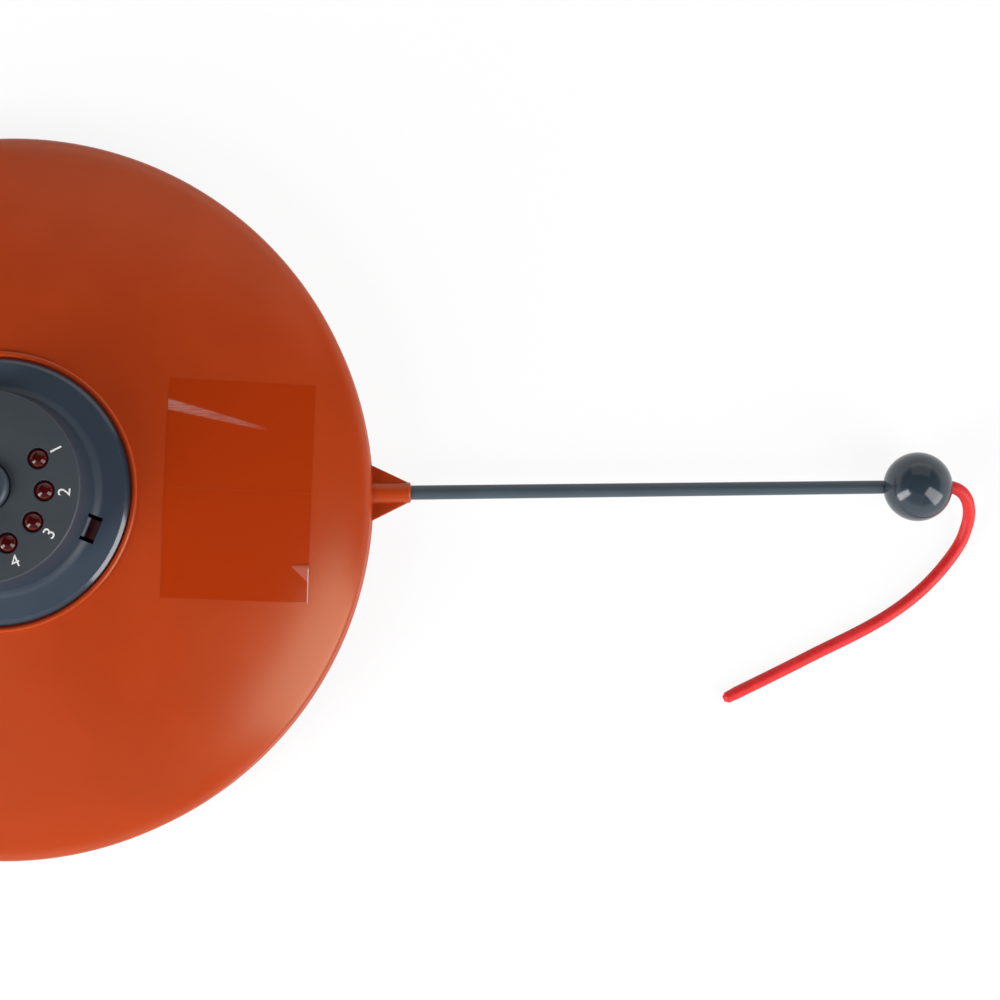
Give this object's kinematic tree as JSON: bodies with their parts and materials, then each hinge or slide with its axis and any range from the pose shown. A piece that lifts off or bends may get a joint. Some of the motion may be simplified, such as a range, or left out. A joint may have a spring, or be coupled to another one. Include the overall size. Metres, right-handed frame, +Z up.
{
  "type": "automatic cat teaser toy",
  "caption": "Low round motorised cat toy: a dished shell turns about a fixed hub with a push button and sweeps a wand with a ball and a soft tail.",
  "frame": {"origin": "on the floor, under the shell's turning axis", "axes": "+Z up along the turning axis, +X along the wand from the axis to the ball at rest, +Y completes the right-handed frame"},
  "size_m": [0.4606, 0.25, 0.0702],
  "materials": {
    "shell_orange": "satin moulded",
    "hub_slate": "fine matte moulded",
    "button_slate": "satin moulded",
    "wand_slate": "satin",
    "tail_red": "soft matte",
    "lens_red": "clear polished",
    "acetal": "moulded",
    "steel": "plated",
    "brass": "machined",
    "board_green": "solder mask",
    "switch_black": "moulded",
    "led_red": "clear cast",
    "foot_rubber": "soft matte",
    "cell_jacket": "printed film, bare"
  },
  "bodies": {
    "base": {"base_tray": "hub_slate", "battery_door": "hub_slate", "door_screw": "steel", "rubber_feet": "foot_rubber", "centre_column": "hub_slate", "column_screws": "steel", "bearing_ring": "acetal", "gear_plate": "hub_slate", "plate_screws": "steel", "gear_axle": "steel", "axle_clip": "steel", "motor_can": "steel", "motor_screws": "steel", "hub_cap": "hub_slate", "lens_1": "lens_red", "lens_2": "lens_red", "lens_3": "lens_red", "lens_4": "lens_red", "control_board": "board_green", "board_screws": "steel", "indicator_leds": "led_red", "tact_switch": "switch_black", "battery_cells": "cell_jacket", "battery_springs": "steel", "battery_plates": "steel"},
    "rotor": {"shell": "shell_orange", "ring_gear": "acetal"},
    "wand": {"wand_rod": "wand_slate", "wand_ball": "wand_slate", "wand_tail": "tail_red"},
    "button": {"mode_button": "button_slate", "switch_plunger": "switch_black"},
    "reduction": {"reduction_gear": "acetal"},
    "motor_rotor": {"motor_shaft": "steel", "motor_pinion": "brass"}
  },
  "joints": [
    {"name": "shell_spin", "type": "hinge", "parent": "base", "child": "rotor", "pos_m": [0, 0, 0.028], "axis": [0, 0, 1], "continuous": true},
    {"name": "wand_pull", "type": "slide", "parent": "rotor", "child": "wand", "axis": [1, 0, 0], "range_m": [0, 0.02]},
    {"name": "button_press", "type": "slide", "parent": "base", "child": "button", "axis": [0, 0, -1], "range_m": [0, 0.0007], "stiffness_N_per_m": 800, "springref_m": -0.0003},
    {"name": "reduction_spin", "type": "hinge", "parent": "base", "child": "reduction", "pos_m": [0, 0.0612, 0.0275], "axis": [0, 0, 1], "continuous": true},
    {"name": "motor_spin", "type": "hinge", "parent": "base", "child": "motor_rotor", "pos_m": [0.01635, 0.06715, 0.0228], "axis": [0, 0, 1], "continuous": true}
  ],
  "couplings": [
    {"joint": "reduction_spin", "follows": "shell_spin", "ratio": -7.5},
    {"joint": "motor_spin", "follows": "shell_spin", "ratio": 36}
  ]
}
